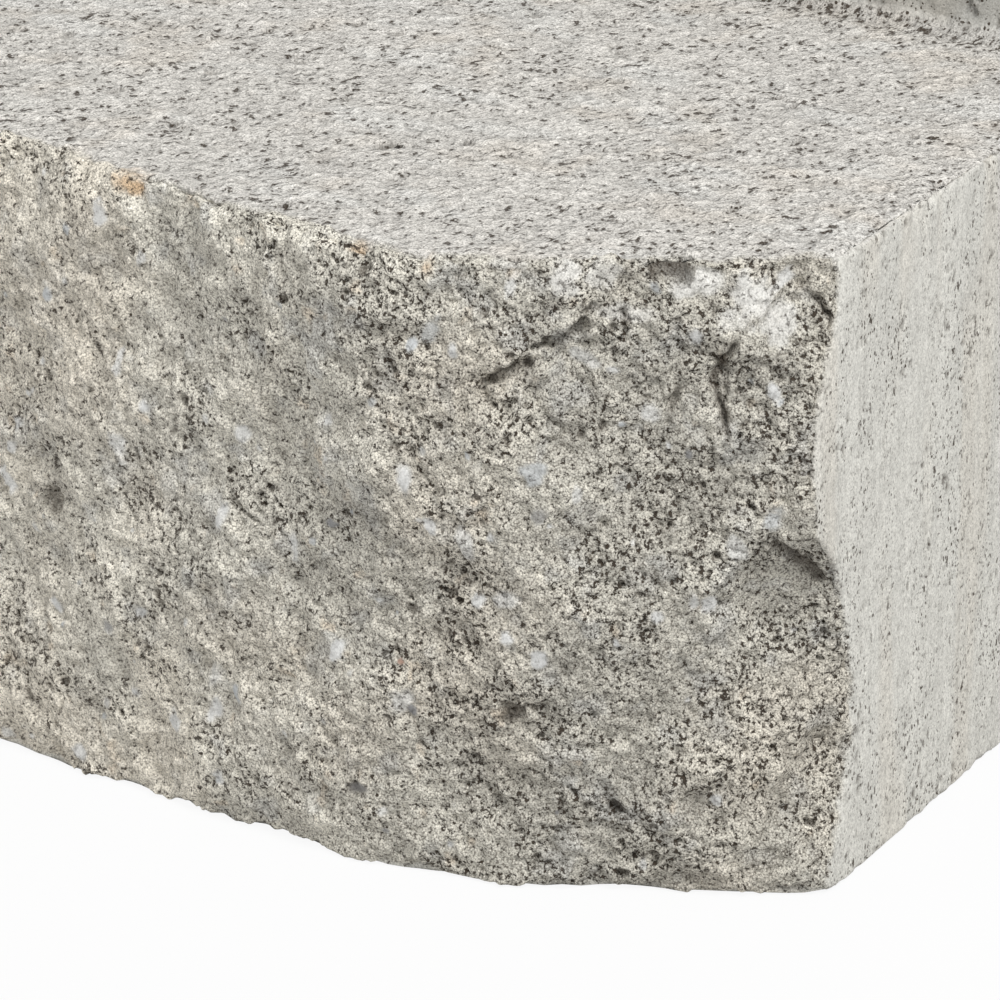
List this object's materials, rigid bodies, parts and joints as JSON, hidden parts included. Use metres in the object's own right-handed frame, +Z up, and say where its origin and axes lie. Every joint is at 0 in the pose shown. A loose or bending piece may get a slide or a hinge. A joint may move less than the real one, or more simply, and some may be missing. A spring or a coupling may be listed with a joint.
{
  "type": "retaining wall block",
  "caption": "Solid concrete retaining wall block with a three-facet split front, tapered cast sides and a raised lip along the rear edge.",
  "frame": {"origin": "middle of the bounding box on the underside, on the level the block lies on", "axes": "+X along the face, to the right seen from the front; +Y from the split front to the rear lip; +Z up, lip side up as pictured"},
  "size_m": [0.2991, 0.1743, 0.1206],
  "materials": {
    "concrete": "dry-cast concrete, matt; coarse and granular on the split front, struck and finely pitted on the bed, smooth with drag marks on the sides"
  },
  "bodies": {
    "root": {"block": "concrete"}
  },
  "joints": []
}
